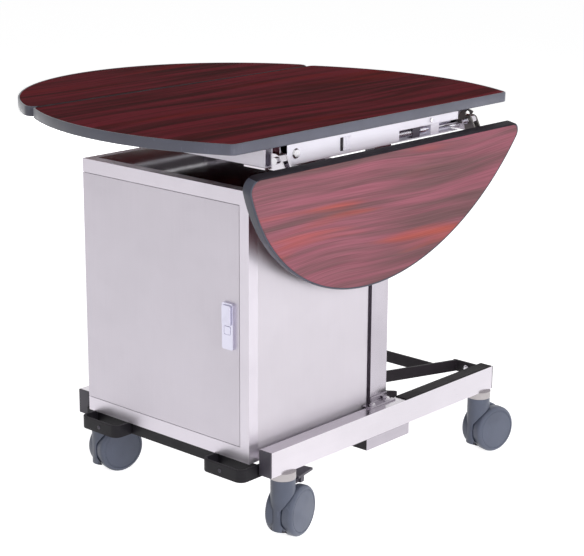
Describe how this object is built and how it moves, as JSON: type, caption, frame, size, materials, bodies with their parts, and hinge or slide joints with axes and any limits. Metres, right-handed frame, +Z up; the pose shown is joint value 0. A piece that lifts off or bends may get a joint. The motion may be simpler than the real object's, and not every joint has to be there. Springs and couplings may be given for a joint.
{
  "type": "room service table",
  "caption": "Wheeled room service table with an oval drop-leaf top, a hinged-door cabinet below and swivel casters.",
  "frame": {"origin": "on the floor below the middle of the centre panel", "axes": "+X to the leaf that hangs down, +Y away from the cabinet door along the folds, +Z up"},
  "size_m": [0.8577, 0.938, 0.778],
  "materials": {
    "wood_top": "satin laminate with a dark reddish wood grain",
    "edging": "satin moulded edging",
    "bright_steel": "bright plated",
    "fasteners": "bright zinc",
    "polished_steel": "polished",
    "dark_steel": "matt black paint",
    "black_rubber": "matt",
    "brushed_steel": "vertical brushed grain",
    "cabinet_top": "polished sheet",
    "lock_chrome": "satin chrome",
    "caster_grey": "slate grey moulded"
  },
  "bodies": {
    "frame": {"centre_top": "wood_top", "centre_edging": "edging", "cross_rails": "bright_steel", "side_rails": "bright_steel", "frame_runners": "bright_steel", "head_beam": "bright_steel", "hinge_ears": "bright_steel", "frame_bolts": "fasteners", "rail_clips": "bright_steel", "lock_guides": "dark_steel", "near_lock_spring": "fasteners", "far_lock_spring": "fasteners", "posts": "polished_steel", "post_feet": "polished_steel", "post_gussets": "dark_steel", "leaf_buffers": "black_rubber", "base_rails": "polished_steel", "rail_end_caps": "black_rubber", "rail_pads": "black_rubber", "front_strap": "dark_steel", "cross_channel": "polished_steel", "rear_braces": "dark_steel", "cabinet_bearers": "bright_steel", "base_bolts": "fasteners", "cabinet_sides": "brushed_steel", "cabinet_top": "cabinet_top", "cabinet_floor": "brushed_steel", "cabinet_back": "brushed_steel", "cabinet_front_frame": "brushed_steel", "door_pins": "fasteners", "shelf_runners": "brushed_steel", "shelves": "brushed_steel", "caster_stems": "lock_chrome"},
    "near_leaf": {"near_leaf_top": "wood_top", "near_leaf_edging": "edging", "near_leaf_brackets": "bright_steel", "near_leaf_screws": "fasteners"},
    "far_leaf": {"far_leaf_top": "wood_top", "far_leaf_edging": "edging", "far_leaf_brackets": "bright_steel", "far_leaf_screws": "fasteners"},
    "near_lock": {"near_lock_bolt": "fasteners", "near_lock_knob": "fasteners"},
    "far_lock": {"far_lock_bolt": "fasteners", "far_lock_knob": "fasteners"},
    "door": {"cabinet_door": "brushed_steel", "door_gasket": "black_rubber", "lock_plate": "lock_chrome"},
    "lever": {"lock_lever": "lock_chrome"},
    "button": {"lock_button": "lock_chrome"},
    "near_front_swivel": {"near_front_caster": "caster_grey"},
    "near_front_roller": {"near_front_wheels": "caster_grey"},
    "near_rear_swivel": {"near_rear_caster": "caster_grey"},
    "near_rear_roller": {"near_rear_wheels": "caster_grey"},
    "far_front_swivel": {"far_front_caster": "caster_grey"},
    "far_front_roller": {"far_front_wheels": "caster_grey"},
    "far_rear_swivel": {"far_rear_caster": "caster_grey"},
    "far_rear_roller": {"far_rear_wheels": "caster_grey"},
    "near_pedal": {"near_brake_pedal": "caster_grey"},
    "far_pedal": {"far_brake_pedal": "caster_grey"}
  },
  "joints": [
    {"name": "near_leaf_fold", "type": "hinge", "parent": "frame", "child": "near_leaf", "pos_m": [0.2645, 0, 0.734], "axis": [0, -1, 0], "range_deg": [0, 101.5]},
    {"name": "far_leaf_fold", "type": "hinge", "parent": "frame", "child": "far_leaf", "pos_m": [-0.2645, 0, 0.734], "axis": [0, -1, 0], "range_deg": [0, 101.5]},
    {"name": "near_lock_slide", "type": "slide", "parent": "frame", "child": "near_lock", "axis": [0, 1, 0], "range_m": [0, 0.01], "stiffness_N_per_m": 400, "springref_m": -0.004, "deforming": ["near_lock_spring"]},
    {"name": "far_lock_slide", "type": "slide", "parent": "frame", "child": "far_lock", "axis": [0, 1, 0], "range_m": [0, 0.01], "stiffness_N_per_m": 400, "springref_m": -0.004, "deforming": ["far_lock_spring"]},
    {"name": "door_hinge", "type": "hinge", "parent": "frame", "child": "door", "pos_m": [-0.213, -0.31, 0.417], "axis": [0, 0, -1], "range_deg": [0, 110]},
    {"name": "lever_turn", "type": "hinge", "parent": "door", "child": "lever", "pos_m": [0.174, -0.325, 0.446], "axis": [0, 1, 0], "range_deg": [0, 90]},
    {"name": "button_push", "type": "slide", "parent": "door", "child": "button", "axis": [0, 1, 0], "range_m": [0, 0.003], "stiffness_N_per_m": 800},
    {"name": "near_front_swivel_turn", "type": "hinge", "parent": "frame", "child": "near_front_swivel", "pos_m": [0.2525, -0.258, 0.1], "axis": [0, 0, 1], "continuous": true},
    {"name": "near_front_wheel_spin", "type": "hinge", "parent": "near_front_swivel", "child": "near_front_roller", "pos_m": [0.24668, -0.23061, 0.05], "axis": [0.9781, 0.2079, 0], "continuous": true},
    {"name": "near_rear_swivel_turn", "type": "hinge", "parent": "frame", "child": "near_rear_swivel", "pos_m": [0.2525, 0.363, 0.1], "axis": [0, 0, 1], "continuous": true},
    {"name": "near_rear_wheel_spin", "type": "hinge", "parent": "near_rear_swivel", "child": "near_rear_roller", "pos_m": [0.25832, 0.39039, 0.05], "axis": [0.9781, -0.2079, 0], "continuous": true},
    {"name": "far_front_swivel_turn", "type": "hinge", "parent": "frame", "child": "far_front_swivel", "pos_m": [-0.2525, -0.258, 0.1], "axis": [0, 0, 1], "continuous": true},
    {"name": "far_front_wheel_spin", "type": "hinge", "parent": "far_front_swivel", "child": "far_front_roller", "pos_m": [-0.24668, -0.23061, 0.05], "axis": [0.9781, -0.2079, 0], "continuous": true},
    {"name": "far_rear_swivel_turn", "type": "hinge", "parent": "frame", "child": "far_rear_swivel", "pos_m": [-0.2525, 0.363, 0.1], "axis": [0, 0, 1], "continuous": true},
    {"name": "far_rear_wheel_spin", "type": "hinge", "parent": "far_rear_swivel", "child": "far_rear_roller", "pos_m": [-0.25832, 0.39039, 0.05], "axis": [0.9781, 0.2079, 0], "continuous": true},
    {"name": "near_brake_press", "type": "hinge", "parent": "near_front_swivel", "child": "near_pedal", "pos_m": [0.24605, -0.22768, 0.108], "axis": [-0.9781, -0.2079, 0], "range_deg": [0, 12]},
    {"name": "far_brake_press", "type": "hinge", "parent": "far_front_swivel", "child": "far_pedal", "pos_m": [-0.24605, -0.22768, 0.108], "axis": [-0.9781, 0.2079, 0], "range_deg": [0, 12]}
  ]
}
